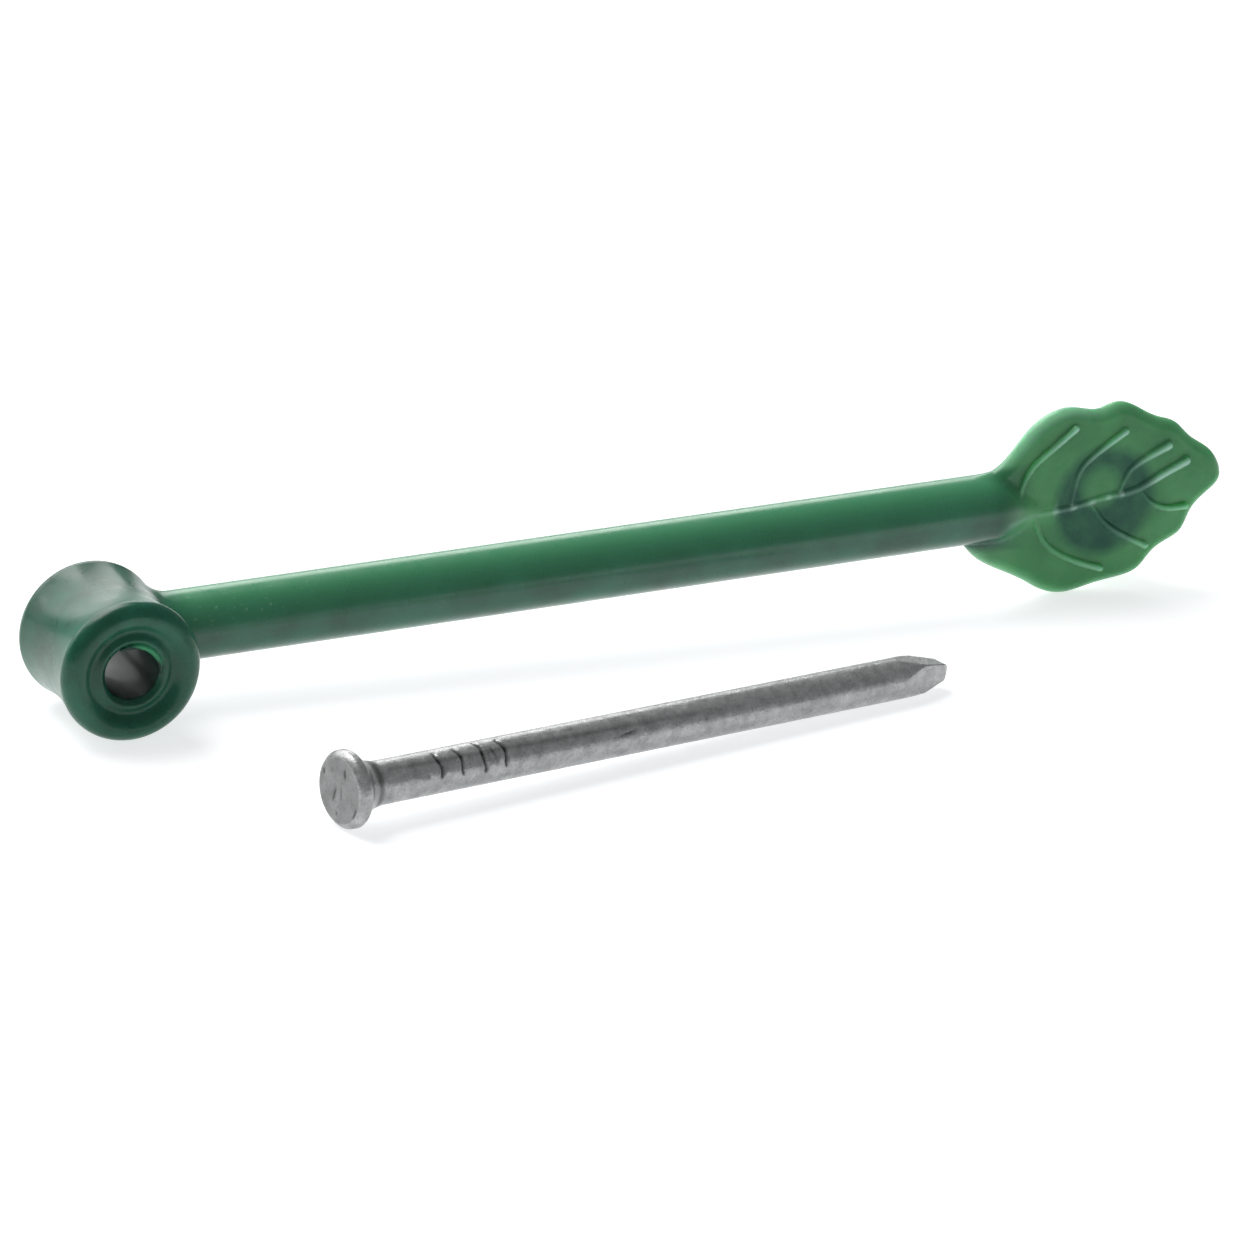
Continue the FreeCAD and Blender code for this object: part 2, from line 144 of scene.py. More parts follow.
def surface_of(field, low, high, cell):
    """Vertices and quads of the field's zero surface: surface nets, then pulled onto the surface."""
    axes = [np.arange(a, b + cell, cell) for a, b in zip(low, high)]
    shape = tuple(len(a) for a in axes)
    values = np.empty(shape)
    for i, x in enumerate(axes[0]):
        y, z = np.meshgrid(axes[1], axes[2], indexing="ij")
        points = np.stack([np.full(y.size, x), y.ravel(), z.ravel()], 1)
        values[i] = field(points).reshape(y.shape)
    inside = values < 0
    corners = [(i, j, k) for i in (0, 1) for j in (0, 1) for k in (0, 1)]
    total = sum(inside[tuple(slice(c[d], shape[d] - 1 + c[d]) for d in range(3))].astype(np.int8)
                for c in corners)
    cells = np.argwhere((total > 0) & (total < 8))
    number = np.full(tuple(s - 1 for s in shape), -1)
    number[tuple(cells.T)] = np.arange(len(cells))
    at = {c: values[tuple((cells + c).T)] for c in corners}
    sums, counts = np.zeros((len(cells), 3)), np.zeros(len(cells))
    for a in corners:
        for d in range(3):
            if a[d] == 0:
                b = tuple(1 if k == d else a[k] for k in range(3))
                cross = (at[a] < 0) != (at[b] < 0)
                t = at[a][cross] / (at[a][cross] - at[b][cross])
                place = np.tile(np.array(a, float), (len(t), 1))
                place[:, d] += t
                sums[cross] += place
                counts[cross] += 1
    points = np.array(low) + (cells + sums / counts[:, None]) * cell
    quads = []
    for d in range(3):
        u, v = (d + 1) % 3, (d + 2) % 3
        step = [0, 0, 0]
        step[d] = 1
        first = inside[:shape[0] - step[0], :shape[1] - step[1], :shape[2] - step[2]]
        second = inside[step[0]:, step[1]:, step[2]:]
        edges = np.argwhere(first != second)
        edges = edges[(edges[:, u] > 0) & (edges[:, v] > 0)]
        edges = edges[(edges[:, u] < shape[u] - 1) & (edges[:, v] < shape[v] - 1)]
        leaving = first[tuple(edges.T)]
        around = []
        for du, dv in ((1, 1), (0, 1), (0, 0), (1, 0)):
            c = edges.copy()
            c[:, u] -= du
            c[:, v] -= dv
            around.append(number[tuple(c.T)])
        quad = np.stack(around, 1)
        quad[~leaving] = quad[~leaving][:, ::-1]
        quads.append(quad)
    points = settle(field, points, cell)
    return points, np.concatenate(quads)


def gradient(field, points, step=2e-3):
    columns = []
    for d in range(3):
        shift = np.zeros(3)
        shift[d] = step
        columns.append((field(points + shift) - field(points - shift)) / (2 * step))
    return np.stack(columns, 1)


def settle(field, points, cell):
    """Newton steps onto the field's zero surface, none longer than half a cell."""
    for _ in range(4):
        slope = gradient(field, points)
        step = -field(points)[:, None] * slope / np.maximum((slope ** 2).sum(1), 0.05)[:, None]
        length = np.linalg.norm(step, axis=1, keepdims=True)
        points = points + step * np.minimum(1, 0.5 * cell / np.maximum(length, 1e-9))
    return points


def new_piece(name, points, faces, material, normals=None):
    """A smooth mesh object with its rest positions kept in an attribute for the material."""
    mesh = bpy.data.meshes.new(name)
    mesh.from_pydata(points.tolist(), [], [list(map(int, f)) for f in faces])
    mesh.update()
    mesh.shade_smooth()
    if normals is not None:
        mesh.normals_split_custom_set_from_vertices(normals.tolist())
    rest = mesh.attributes.new("rest", "FLOAT_VECTOR", "POINT")
    rest.data.foreach_set("vector", points.astype(np.float32).ravel())
    piece = bpy.data.objects.new(name, mesh)
    bpy.context.scene.collection.objects.link(piece)
    mesh.materials.append(material)
    return piece


def cut_between(points, quads, low_x, high_x):
    """The part of a surface between two planes across the arm, closed there with flat caps."""
    work = bmesh.new()
    made = [work.verts.new(p) for p in points]
    for q in quads:
        work.faces.new([made[i] for i in q])
    for x, way in ((low_x, -1), (high_x, 1)):
        if x is None:
            continue
        everything = work.verts[:] + work.edges[:] + work.faces[:]
        cut = bmesh.ops.bisect_plane(work, geom=everything, plane_co=(x, 0, 0), plane_no=(way, 0, 0),
                                     clear_outer=True, dist=1e-5)
        rim = [e for e in cut["geom_cut"] if isinstance(e, bmesh.types.BMEdge) and e.is_boundary]
        bmesh.ops.edgeloop_fill(work, edges=rim)
    bmesh.ops.recalc_face_normals(work, faces=work.faces[:])
    work.verts.index_update()
    found = np.array([v.co[:] for v in work.verts])
    faces = [[v.index for v in f.verts] for f in work.faces]
    work.free()
    return found, faces


def field_piece(name, field, points, quads, low_x, high_x, material):
    """A piece of a field's surface, with normals from the field so that neighbours join unseen."""
    found, faces = cut_between(points, quads, low_x, high_x)
    slope = gradient(field, found)
    slope /= np.linalg.norm(slope, axis=1, keepdims=True)
    normals = to_row(slope) / MM
    return new_piece(name, to_row(found), faces, material, normals)


# ---------------------------------------------------------------- fields of the green moulding

def collar_field(p):
    """The waisted spool with its bore, the soft recess round it, a scrap of flash and the arm's root."""
    x, y, z = p.T
    rho = np.hypot(x, z)
    middle = (WALL_END + HEAD_END) / 2
    reach = (HEAD_END - WALL_END) / 2 - RIM_RADIUS
    radius = COLLAR_RADIUS - WAIST_DEPTH * np.clip(1 - ((y - middle) / reach) ** 2, 0, 1)
    boss = BORE_RADIUS + BOSS_WALL
    sunk = BOSS_DROP * (1 - ramp(rho, boss - 0.1, boss + 1.2))
    sunk = sunk + RECESS_DEPTH * np.exp(-((rho - boss - RECESS_WIDTH / 2) / RECESS_SPREAD) ** 2)
    ends = np.maximum(y - HEAD_END, WALL_END + sunk - y)
    spool = round_max(rho - radius, ends, RIM_RADIUS)
    root = np.maximum(np.hypot(y, z) - ARM_RADIUS, -x)
    fillet = 0.9 - 0.8 * ramp(y, 0.6, 1.6)
    body = smooth_min(spool, root, fillet)
    mouth = BORE_RADIUS
    mouth = mouth + CHAMFER * np.clip((WALL_END + BOSS_DROP + CHAMFER - y) / CHAMFER, 0, 1.5)
    mouth = mouth + CHAMFER * np.clip((y - HEAD_END + CHAMFER) / CHAMFER, 0, 1.5)
    body = smooth_max(body, mouth - rho, 0.12)
    away = np.abs((np.arctan2(z, x) - FLASH_TURN + math.pi) % (2 * math.pi) - math.pi)
    flash = FLASH_RADIUS * (1 - ramp(away, 0.7, 1.3))
    ring = np.hypot(rho - BORE_RADIUS - 0.02, y - WALL_END - BOSS_DROP - 0.12) - flash
    return smooth_min(body, ring, 0.06)


def spline_through(knots, count):
    """Points along a natural cubic spline through the knots, timed by the square roots of its chords."""
    knots = np.array(knots, float)
    lengths = np.linalg.norm(np.diff(knots, axis=0), axis=1) ** 0.5
    t = np.concatenate([[0], np.cumsum(lengths)])
    n = len(knots)
    system, right = np.zeros((n, n)), np.zeros((n, 2))
    h = np.diff(t)
    system[0, 0] = system[-1, -1] = 1
    for i in range(1, n - 1):
        system[i, i - 1:i + 2] = h[i - 1], 2 * (h[i - 1] + h[i]), h[i]
        right[i] = 6 * ((knots[i + 1] - knots[i]) / h[i] - (knots[i] - knots[i - 1]) / h[i - 1])
    bend = np.linalg.solve(system, right)
    s = np.linspace(0, t[-1], count)
    k = np.clip(np.searchsorted(t, s, side="right") - 1, 0, n - 2)
    a, b = ((t[k + 1] - s) / h[k])[:, None], ((s - t[k]) / h[k])[:, None]
    width = (h[k] ** 2)[:, None] / 6
    return a * knots[k] + b * knots[k + 1] + ((a ** 3 - a) * bend[k] + (b ** 3 - b) * bend[k + 1]) * width


LAST = HINGES[-1]
OUTLINE = spline_through([(LAST + a * LEAF_LENGTH, b * LEAF_HALF) for a, b in LEAF_EDGE], 520)
OUTLINE_CELL = 0.05
OUTLINE_LOW = np.array([LAST - 3.0, -7.4])
OUTLINE_SHAPE = (430, 290)


def outline_distances():
    """Signed distances to the leaf's outline on a flat grid, negative inside."""
    gx, gz = np.meshgrid(*(OUTLINE_LOW[i] + OUTLINE_CELL * np.arange(OUTLINE_SHAPE[i]) for i in (0, 1)),
                         indexing="ij")
    start, end = OUTLINE, np.roll(OUTLINE, -1, axis=0)
    best = np.full(gx.shape, 1e9)
    inside = np.zeros(gx.shape, bool)
    for a, b in zip(start, end):
        d = b - a
        t = np.clip(((gx - a[0]) * d[0] + (gz - a[1]) * d[1]) / (d @ d), 0, 1)
        best = np.minimum(best, (gx - a[0] - t * d[0]) ** 2 + (gz - a[1] - t * d[1]) ** 2)
        if a[1] != b[1]:
            spans = (a[1] > gz) != (b[1] > gz)
            inside ^= spans & (gx < a[0] + (gz - a[1]) * d[0] / d[1])
    return np.where(inside, -1, 1) * np.sqrt(best)


DISTANCES = outline_distances()


def outline_field(x, z):
    """The signed distance to the leaf's outline, read between the grid's points."""
    u = np.clip((x - OUTLINE_LOW[0]) / OUTLINE_CELL, 0, OUTLINE_SHAPE[0] - 1.001)
    v = np.clip((z - OUTLINE_LOW[1]) / OUTLINE_CELL, 0, OUTLINE_SHAPE[1] - 1.001)
    i, j = u.astype(int), v.astype(int)
    u, v = u - i, v - j
    low = DISTANCES[i, j] * (1 - v) + DISTANCES[i, j + 1] * v
    high = DISTANCES[i + 1, j] * (1 - v) + DISTANCES[i + 1, j + 1] * v
    return low * (1 - u) + high * u


VEIN_LINES = [spline_through(knots, 3 * len(knots)) for knots in VEINS]
THICK_VEINS = (0, 3)
UPPER_VEINS = 4
BEAD_RATE, BEAD_END = 75, 0.62
BLADE_CROWN = 0.13


def beads(share, start):
    """The midrib's small beads, from a share of its length on."""
    return np.maximum(0, np.sin(share * BEAD_RATE)) * (share > start) * (share < BEAD_END)


def beside_vein(line, k, x, z):
    """How far points lie from one stretch of a vein, and which share of the vein they are at."""
    a, d = line[k], line[k + 1] - line[k]
    t = np.clip(((x - a[0]) * d[0] + (z - a[1]) * d[1]) / (d @ d), 0, 1)
    return np.hypot(x - a[0] - t * d[0], z - a[1] - t * d[1]), (k + t) / (len(line) - 1)


def vein_field(x, y, z):
    """Rounded ribs along the veins, a little higher towards their far ends."""
    found = np.full(len(x), 1e9)
    for number, line in enumerate(VEIN_LINES):
        for k in range(len(line) - 1):
            flat, share = beside_vein(line, k, x, z)
            proud = 0.11 + 0.15 * share
            if number == 0:
                proud = 0.13 + 0.13 * ramp(share, 0.6, 0.85)
                proud = proud + 0.05 * beads(share, 0.3)
            rib = 0.16 + (0.13 if number in THICK_VEINS else 0.05) * share
            found = np.minimum(found, np.hypot(flat, y + BLADE_HALF + proud - rib) - rib)
    return found


def vein_and_margin_highlight(points):
    """How much each point is painted lighter as a highlight: along the ribs, most near their far ends, and
    along the margin, most at its upper left.
    """
    x, y, z = points.T
    found = np.zeros(len(x))
    for number, line in enumerate(VEIN_LINES):
        for k in range(len(line) - 1):
            flat, share = beside_vein(line, k, x, z)
            width = 0.20 if number in THICK_VEINS else 0.15
            strength = (0.06 + 0.94 * share ** 2) * (1.0 if number < UPPER_VEINS else 0.55)
            if number == 0:
                strength = 0.22 + 0.75 * ramp(share, 0.72, 0.85) + 0.5 * beads(share, 0.22)
            found = np.maximum(found, strength * np.exp(-(flat / width) ** 2))
    found = found * (y < -0.7)
    margin = np.exp(-(np.maximum(-outline_field(x, z) - 0.15, 0) / 0.30) ** 2)
    # The margin's painted highlight, stronger towards its upper left.
    pale = 0.16 + 0.42 * ramp(z, 1.0, 4.0) * (1 - ramp(x, 60.0, 65.0))
    on_blade = np.maximum(ramp(np.abs(z), 2.1, 2.6), ramp(x, LAST + 3.5, LAST + 5.0))
    return np.maximum(found, margin * pale * (1 - ramp(y, 0.1, 0.6)) * on_blade)


def leaf_field(p):
    """The crowned blade with its veins in front, the socket ring behind and the arm's tapering end."""
    x, y, z = p.T
    inward = outline_field(x, z)
    crown = BLADE_CROWN * (1 - ramp(-inward, 0.2, 2.2))
    blade = round_max(inward, np.abs(y) - BLADE_HALF + crown, EDGE_RADIUS)
    along = x - LAST
    radius = ARM_RADIUS - (ARM_RADIUS - 0.7) * ramp(along, 1.3, 5.0)
    sink = -0.55 * ramp(along, 1.0, 5.0)
    arm = np.maximum(np.hypot(y, z - sink) - radius, along - 5.4)
    body = smooth_min(blade, arm, 0.05 + 0.45 * ramp(along, -0.6, 2.4))
    rho = np.hypot(along - RING_ALONG, z + RING_DROP)
    wall = np.abs(rho - (RING_INNER + RING_OUTER) / 2) - (RING_OUTER - RING_INNER) / 2
    ring = round_max(wall, np.maximum(y - RING_END, -y), 0.12)
    lip = np.hypot(rho - RING_INNER, (y - RING_END + LIP_HEIGHT / 2) * 0.6) - LIP_WIDTH
    ring = smooth_min(ring, lip, 0.08)
    body = smooth_min(body, ring, 0.2)
    front = y < 0.0
    veins = np.full(len(x), 1e9)
    veins[front] = vein_field(x[front], y[front], z[front])
    return smooth_min(body, veins, 0.10)


# ---------------------------------------------------------------- materials

class Nodes:
    """A short way to write a material's node tree."""

    def __init__(self, name):
        self.material = bpy.data.materials.new(name)
        self.material.use_nodes = True
        self.tree = self.material.node_tree
        self.tree.nodes.clear()
        self.output = self.node("ShaderNodeOutputMaterial")
        self.shader = self.node("ShaderNodeBsdfPrincipled")
        self.link(self.shader, "BSDF", self.output, "Surface")

    def node(self, kind, **values):
        made = self.tree.nodes.new(kind)
        for key, value in values.items():
            setattr(made, key, value)
        return made

    def link(self, source, out, target, into):
        self.tree.links.new(source.outputs[out], target.inputs[into])

    def feed(self, target, into, value):
        if isinstance(value, tuple) and hasattr(value[0], "outputs"):
            self.link(value[0], value[1], target, into)
        else:
            target.inputs[into].default_value = value

    def math(self, kind, a, b=0.0):
        made = self.node("ShaderNodeMath", operation=kind)
        for i, value in enumerate((a, b)):
            self.feed(made, i, value)
        return made, "Value"

    def noise(self, where, scale, detail=3.0, rough=0.5):
        made = self.node("ShaderNodeTexNoise")
        self.feed(made, "Vector", where)
        made.inputs["Scale"].default_value = scale
        made.inputs["Detail"].default_value = detail
        made.inputs["Roughness"].default_value = rough
        return made, "Fac"

    def span(self, value, low, high, to_low=0.0, to_high=1.0):
        made = self.node("ShaderNodeMapRange", clamp=True)
        self.feed(made, "Value", value)
        for key, number in (("From Min", low), ("From Max", high), ("To Min", to_low), ("To Max", to_high)):
            made.inputs[key].default_value = number
        return made, "Result"

    def mix(self, factor, a, b):
        made = self.node("ShaderNodeMix", data_type="RGBA")
        self.feed(made, "Factor", factor)
        self.feed(made, 6, a)
        self.feed(made, 7, b)
        return made, 2

    def bump(self, height, strength, distance, normal=None):
        made = self.node("ShaderNodeBump")
        made.inputs["Strength"].default_value = strength
        made.inputs["Distance"].default_value = distance
        self.feed(made, "Height", height)
        if normal:
            self.feed(made, "Normal", normal)
        return made, "Normal"


def place_nodes(n):
    """The rest position in millimetres along the tie's own axes."""
    rest = n.node("ShaderNodeAttribute", attribute_name="rest")
    scaled = n.node("ShaderNodeMapping")
    n.link(rest, "Vector", scaled, "Vector")
    scaled.inputs["Scale"].default_value = (1 / MM, 1 / MM, 1 / MM)
    scaled.inputs["Rotation"].default_value = (0, math.atan2(-UP.x, UP.z), 0)
    split = n.node("ShaderNodeSeparateXYZ")
    n.link(scaled, "Vector", split, "Vector")
    return (scaled, "Vector"), (split, "X"), (split, "Y"), (split, "Z")


def distance_from(n, x, z, centre_x, centre_z):
    """The distance across the bore's direction from a centre, in millimetres."""
    across = n.math("SUBTRACT", x, centre_x)
    above = n.math("SUBTRACT", z, centre_z)
    return n.math("SQRT", n.math("ADD", n.math("MULTIPLY", across, across), n.math("MULTIPLY", above, above)))


DARK, MID, PALE_AND_TOP_LIT_GREEN = (0.008, 0.070, 0.040, 1), (0.016, 0.125, 0.076, 1), (0.060, 0.29, 0.135, 1)
LIT_LEAF_DARK, LIT_LEAF_LIGHT = (0.060, 0.245, 0.100, 1), (0.092, 0.330, 0.130, 1)
SHADE_GREEN, VEIN_HIGHLIGHT_GREEN, FLASH_HIGHLIGHT_GREEN = (0.004, 0.075, 0.048, 1), (0.40, 0.60, 0.52, 1), (0.045, 0.30, 0.14, 1)
BORE_SHADE_BLACK, SPECK_PALE = (0.002, 0.008, 0.006, 1), (0.35, 0.55, 0.42, 1)
SCATTER_MM = {"collar": 0.3, "leaf": 1.7}


def green_plastic(name, kind):
    """Glossy green moulded plastic, dark where thick; painted lighter on the arm's top and on the blade where
    light passes through it, with painted shade on the blade and in the bore, and painted highlights on the
    flash, veins and margin.
    """
    n = Nodes(name)
    where, x, y, z = place_nodes(n)
    cloud = n.span(n.noise(where, 0.35, 3.0), 0.33, 0.68)
    on_arm = n.math("MULTIPLY", n.span(x, 3.0, 5.2), n.span(x, 57.5, 55.0))
    in_bore = 0.0
    colour = n.mix(cloud, DARK, MID)
    # Painted light: the arm's top is painted a lighter green, as if lit from above.
    colour = n.mix(n.math("MULTIPLY", n.span(z, -0.2, 1.8, 0.0, 0.88), on_arm), colour, PALE_AND_TOP_LIT_GREEN)
    if kind == "leaf":
        # Painted light, besides the blade's real scattering: the thin blade gets a lighter green for the
        # light passing through it.
        beside = n.span(n.math("ABSOLUTE", z), 2.1, 2.7)
        thin = n.math("MAXIMUM", n.span(x, 55.4, 58.0), beside)
        colour = n.mix(thin, colour, n.mix(cloud, LIT_LEAF_DARK, LIT_LEAF_LIGHT))
        # Painted shade: the blade is painted darker where the socket ring behind it shades it.
        shade = ring_shade(n, where, x, y, z)
        colour = n.mix(shade, colour, SHADE_GREEN)
        # Painted highlights: the veins' ribs and the leaf's margin are painted paler.
        vein = n.node("ShaderNodeAttribute", attribute_name="vein")
        colour = n.mix(n.math("MULTIPLY", (vein, "Fac"), 0.85), colour, VEIN_HIGHLIGHT_GREEN)
    if kind == "collar":
        rho = distance_from(n, x, z, 0.0, 0.0)
        in_bore = n.span(rho, 1.64, 1.52)
        # Painted shade: the bore's wall is painted near black.
        colour = n.mix(n.math("MULTIPLY", in_bore, 0.9), colour, BORE_SHADE_BLACK)
        # Painted highlight: the scrap of flash at the bore's rim is painted a lighter green.
        flash = n.math("ADD", n.math("MULTIPLY", x, 0.616), n.math("MULTIPLY", z, 0.788))
        flash = n.math("MULTIPLY", n.span(flash, 1.20, 1.45), n.span(rho, 1.84, 1.70))
        flash = n.math("MULTIPLY", flash, n.span(y, -5.15, -5.35))
        colour = n.mix(n.math("MULTIPLY", flash, 0.8), colour, FLASH_HIGHLIGHT_GREEN)
    fine = n.noise(where, 7.0, 2.0)
    colour = n.mix(n.span(fine, 0.62, 0.8, 0.0, 0.03), colour, PALE_AND_TOP_LIT_GREEN)
    specks = n.noise(where, 4.6, 0.0, 0.4)
    near = n.math("MULTIPLY", n.span(x, 18.0, 6.0), n.span(x, 4.0, 5.0))
    near = n.math("MULTIPLY", near, n.span(z, 0.3, 1.2))
    speck = n.math("MULTIPLY", n.span(specks, 0.75, 0.79), near)
    colour = n.mix(n.math("MULTIPLY", speck, 0.35), colour, SPECK_PALE)
    n.feed(n.shader, "Base Color", colour)
    rough = n.span(n.noise(where, 0.8, 1.0), 0.3, 0.7, 0.25, 0.34)
    n.feed(n.shader, "Roughness", n.math("ADD", rough, n.math("MULTIPLY", in_bore, 0.3)))
    n.shader.inputs["IOR"].default_value = 1.50
    n.shader.inputs["Coat Weight"].default_value = 0.15
    n.shader.inputs["Coat Roughness"].default_value = 0.15
    wave = n.bump(n.noise(where, 0.55, 2.0), 0.12, 0.0001)
    n.feed(n.shader, "Normal", wave)
    if kind in SCATTER_MM:
        n.shader.subsurface_method = "RANDOM_WALK"
        n.shader.inputs["Subsurface Radius"].default_value = (0.35, 1.0, 0.5)
        n.shader.inputs["Subsurface Scale"].default_value = SCATTER_MM[kind] * MM
        weight = n.span(x, 4.6, 3.4, 0.0, 0.5)
        edge = n.span(x, 3.0, 5.0, 0.25, 0.5)
        if kind == "leaf":
            weight = n.math("MAXIMUM", n.span(x, 54.2, 56.4), beside)
            weight = n.math("MULTIPLY", weight, n.span(shade, 0.0, 0.8, 1.0, 0.25))
            edge = n.span(x, 54.5, 57.5, 0.5, 0.16)
        n.feed(n.shader, "Specular IOR Level", edge)
        n.feed(n.shader, "Subsurface Weight", weight)
    return n.material


# Where the socket ring's shade lies on the blade: placed nearer the arm than the ring itself.
SHADE_OUTER, SHADE_INNER = (LAST + 8.95, -0.35), (LAST + 8.65, 0.60)


def ring_shade(n, where, x, y, z):
    """How much the blade is painted darker for the shade of the socket ring behind it: a broad, uneven
    painted shade.
    """
    outer = distance_from(n, x, z, *SHADE_OUTER)
    inner = distance_from(n, x, z, *SHADE_INNER)
    shade = n.math("MULTIPLY", n.span(outer, 3.7, 2.9), n.span(inner, 0.8, 1.6, 0.10, 1.0))
    patchy = n.span(n.noise(where, 0.9, 3.0), 0.3, 0.65, 0.72, 0.97)
    return n.math("MULTIPLY", n.math("MULTIPLY", shade, patchy), n.span(y, 0.0, 0.6, 1.0, 0.0))


def zinc(name):
    """Dull zinc on steel wire: mottled, with fine drawing lines, dark scratches and darker marks, one of them
    a painted dark reflection along the shank.
    """
    n = Nodes(name)
    rest = n.node("ShaderNodeAttribute", attribute_name="local")
    dirt_and_shade_layer = n.node("ShaderNodeAttribute", attribute_name="dirt_and_shade")
    where = (rest, "Vector")
    mottle = n.noise(where, 1.3, 5.0, 0.65)
    colour = n.mix(n.span(mottle, 0.3, 0.7), (0.27, 0.27, 0.272, 1), (0.50, 0.50, 0.503, 1))
    speck = n.noise(where, 9.0, 4.0, 0.7)
    colour = n.mix(n.span(speck, 0.54, 0.68, 0.0, 0.65), colour, (0.10, 0.10, 0.10, 1))
    # Darker at the nail's marks, and along a painted dark reflection on the shank.
    colour = n.mix((dirt_and_shade_layer, "Fac"), colour, (0.02, 0.02, 0.02, 1))
    n.feed(n.shader, "Base Color", colour)
    n.shader.inputs["Metallic"].default_value = 0.5
    n.feed(n.shader, "Roughness", n.span(n.noise(where, 2.4, 4.0), 0.3, 0.7, 0.20, 0.42))
    stretch = n.node("ShaderNodeMapping")
    n.link(rest, "Vector", stretch, "Vector")
    stretch.inputs["Scale"].default_value = (0.06, 1.0, 1.0)
    lines = n.bump(n.noise((stretch, "Vector"), 6.0, 3.0), 0.25, 0.00003)
    pits = n.bump(n.noise(where, 7.0, 4.0, 0.6), 0.35, 0.00004, lines)
    n.feed(n.shader, "Normal", pits)
    return n.material


# ---------------------------------------------------------------- the green pieces

ARM_PLASTIC = green_plastic("arm_plastic", "arm")
COLLAR_PLASTIC = green_plastic("collar_plastic", "collar")
LEAF_PLASTIC = green_plastic("leaf_plastic", "leaf")

FIELD_CELL = 0.085
COLLAR_CUT = HINGES[0] - 1.0
LEAF_CUT = LAST

points, quads = surface_of(collar_field, (-4.3, -6.2, -4.3), (COLLAR_CUT + 0.5, 2.3, 4.3), FIELD_CELL)
collar = field_piece("collar_skin", collar_field, points, quads, None, COLLAR_CUT, COLLAR_PLASTIC)
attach(collar, "collar")
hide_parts("collar")

points, quads = surface_of(leaf_field, (LAST - SPACING / 2 - 0.6, -2.2, -6.5),
                           (LAST + LEAF_LENGTH + 0.3, 3.7, 6.0), FIELD_CELL)
leaf = field_piece("leaf_skin", leaf_field, points, quads, LEAF_CUT, None, LEAF_PLASTIC)
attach(leaf, "leaf")
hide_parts("leaf")
# The painted highlights on the veins and the margin, kept per point for the material.
light = leaf.data.attributes.new("vein", "FLOAT", "POINT")
light.data.foreach_set("value", vein_and_margin_highlight(from_row(leaf.data.vertices)).astype(np.float32))


ROD_SIDES, ROD_RINGS = 72, 14


def tube(low_x, high_x):
    """A closed rod with enough rings to bend."""
    x = np.linspace(low_x, high_x, ROD_RINGS)
    turn = np.linspace(0, 2 * math.pi, ROD_SIDES, endpoint=False)
    points = [(a, ARM_RADIUS * math.cos(t), ARM_RADIUS * math.sin(t)) for a in x for t in turn]
    faces = []
    for i in range(0, (ROD_RINGS - 1) * ROD_SIDES, ROD_SIDES):
        for j in range(ROD_SIDES):
            k = (j + 1) % ROD_SIDES
            faces.append((i + j, i + k, i + ROD_SIDES + k, i + ROD_SIDES + j))
    faces.append(tuple(reversed(range(ROD_SIDES))))
    faces.append(tuple(range((ROD_RINGS - 1) * ROD_SIDES, ROD_RINGS * ROD_SIDES)))
    return np.array(points), faces


for index, hinge in enumerate(HINGES):
    low_x = COLLAR_CUT if index == 0 else hinge - SPACING / 2
    high_x = LEAF_CUT if index == len(HINGES) - 1 else hinge + SPACING / 2
    name = f"arm_skin_{index + 1:02d}"
    if index == len(HINGES) - 1:
        skin = field_piece(name, leaf_field, points, quads, low_x, high_x, ARM_PLASTIC)
    else:
        rod, faces = tube(low_x, high_x)
        outward = rod * (0, 1, 1) / ARM_RADIUS
        skin = new_piece(name, to_row(rod), faces, ARM_PLASTIC, to_row(outward) / MM)
        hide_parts(CHAIN[index + 1])
    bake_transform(skin)


# ---------------------------------------------------------------- the nail

PIN = next(m for m in RECORD["mounts"] if m["name"] == "nail_shank")
NAIL_AXIS = Vector(PIN["axis"]).normalized()
NAIL_SIDE = Vector((0, 0, 1)).cross(NAIL_AXIS).normalized()
NAIL_UP = NAIL_AXIS.cross(NAIL_SIDE)
NAIL_START = Vector(PIN["pos_m"]) - NAIL_AXIS * (HEAD_THICK + NECK + PIN["dims"]["length_mm"] / 2) * MM


# The nail's turned profile: places from the head's face, and the radius at each.
PROFILE = ((0.0, NAIL_HEAD - HEAD_BEVEL), (0.06, NAIL_HEAD - HEAD_BEVEL + 0.10),
           (HEAD_BEVEL, NAIL_HEAD - 0.01), (HEAD_THICK - 0.12, NAIL_HEAD), (HEAD_THICK, NAIL_HEAD - 0.06),
           (1.1, 1.68), (1.6, 1.36), (HEAD_THICK + NECK, 1.215), (3.2, NAIL_RADIUS))
# Each grip mark's place along the nail, half its turn about it, and its depth as a share of the deepest.
GRIP_MARKS = ((4.8, 0.45, 0.8), (5.75, 0.55, 0.9), (7.15, 0.6, 0.9),
              (8.6, 0.75, 1.0), (9.3, 0.3, 0.5), (10.0, 0.65, 0.9))
MARKS_FACE = math.radians(155)
NICK_AT = 18.2


